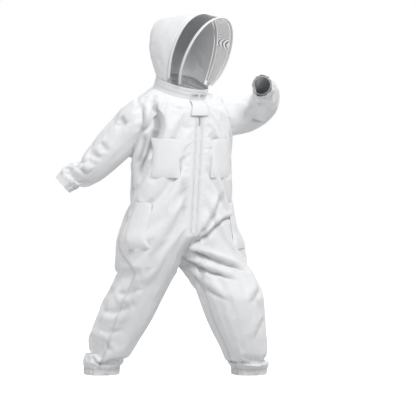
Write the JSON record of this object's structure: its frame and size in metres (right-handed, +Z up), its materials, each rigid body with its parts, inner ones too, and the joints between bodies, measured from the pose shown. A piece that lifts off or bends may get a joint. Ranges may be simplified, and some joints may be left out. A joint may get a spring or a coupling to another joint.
{
  "type": "beekeeping suit",
  "caption": "White cotton beekeeping suit with a hooped net hood zipped to the leaning neck, long front zip, patch pockets, elastic cuffs and hems.",
  "frame": {"origin": "centre of the neck opening, at the height of the circle on which the hood zip runs", "axes": "+Z up, -Y out of the chest, +X towards the wearer's left"},
  "size_m": [0.9381, 0.4784, 1.5635],
  "materials": {
    "cotton_cloth": "plain woven white cotton, matt",
    "elastic": "ribbed white elastic",
    "net": "open black woven net",
    "zip_tape": "white herringbone tape with moulded teeth",
    "hook_and_loop": "white hook-and-loop",
    "zip_metal": "nickel plated",
    "hoop_plastic": "flexible rod"
  },
  "bodies": {
    "suit": {"ankle_elastic_left": "elastic", "ankle_elastic_right": "elastic", "back_bodice": "cotton_cloth", "back_leg_left": "cotton_cloth", "back_leg_right": "cotton_cloth", "chest_pocket_left": "cotton_cloth", "chest_pocket_right": "cotton_cloth", "cuff_left": "cotton_cloth", "cuff_right": "cotton_cloth", "front_panel_left": "cotton_cloth", "front_panel_right": "cotton_cloth", "hem_left": "cotton_cloth", "hem_right": "cotton_cloth", "nape_strip": "cotton_cloth", "neck_band": "cotton_cloth", "neck_zip_lower": "zip_tape", "sleeve_left": "cotton_cloth", "sleeve_right": "cotton_cloth", "thigh_pocket_left": "cotton_cloth", "thigh_pocket_right": "cotton_cloth", "throat_loop_patch": "hook_and_loop", "throat_tab": "cotton_cloth", "waist_elastic": "elastic", "wrist_elastic_left": "elastic", "wrist_elastic_right": "elastic", "zip_tape_left": "zip_tape", "zip_tape_right": "zip_tape"},
    "hood": {"hood_band": "cotton_cloth", "neck_zip_upper": "zip_tape", "hood_nape_strip": "cotton_cloth", "hood_side_net": "net", "hood_face_net": "net", "hood_back": "cotton_cloth", "face_hoop_tunnel": "cotton_cloth", "face_hoop": "hoop_plastic", "rear_hoop_tunnel": "cotton_cloth", "rear_hoop": "hoop_plastic"},
    "main_slider": {"main_slider": "zip_metal"},
    "main_pull": {"main_pull": "zip_metal"},
    "neck_slider_left": {"neck_slider_left": "zip_metal"},
    "neck_pull_left": {"neck_pull_left": "zip_metal"},
    "neck_slider_right": {"neck_slider_right": "zip_metal"},
    "neck_pull_right": {"neck_pull_right": "zip_metal"},
    "throat_flap": {"throat_flap": "cotton_cloth", "throat_hook_patch": "hook_and_loop"}
  },
  "joints": [
    {"name": "hood_fold_back", "type": "hinge", "parent": "suit", "child": "hood", "pos_m": [-0.04654, 0.09981, 0.04008], "axis": [-0.9063, -0.4226, 0], "range_deg": [0, 100]},
    {"name": "main_zip_slide", "type": "slide", "parent": "suit", "child": "main_slider", "axis": [-0.0729, -0.0456, -0.9963], "range_m": [0, 0.47]},
    {"name": "main_pull_swing", "type": "hinge", "parent": "main_slider", "child": "main_pull", "pos_m": [0.03249, -0.1454, -0.14106], "axis": [-0.9973, 0.0033, 0.0728], "range_deg": [0, 120]},
    {"name": "neck_slide_left", "type": "hinge", "parent": "suit", "child": "neck_slider_left", "pos_m": [0, 0, 0], "axis": [0.1445, -0.31, 0.9397], "range_deg": [0, 145]},
    {"name": "neck_pull_left_swing", "type": "hinge", "parent": "neck_slider_left", "child": "neck_pull_left", "pos_m": [0.06049, -0.09516, -0.0407], "axis": [-0.1445, 0.31, -0.9397], "range_deg": [0, 120]},
    {"name": "neck_slide_right", "type": "hinge", "parent": "suit", "child": "neck_slider_right", "pos_m": [0, 0, 0], "axis": [-0.1445, 0.31, -0.9397], "range_deg": [0, 145]},
    {"name": "neck_pull_right_swing", "type": "hinge", "parent": "neck_slider_right", "child": "neck_pull_right", "pos_m": [0.03401, -0.10751, -0.0407], "axis": [0.1445, -0.31, 0.9397], "range_deg": [0, 120]},
    {"name": "throat_flap_fold", "type": "hinge", "parent": "suit", "child": "throat_flap", "pos_m": [0.05402, -0.09118, -0.05867], "axis": [-0.1754, 0.6675, 0.7236], "range_deg": [0, 38]}
  ]
}
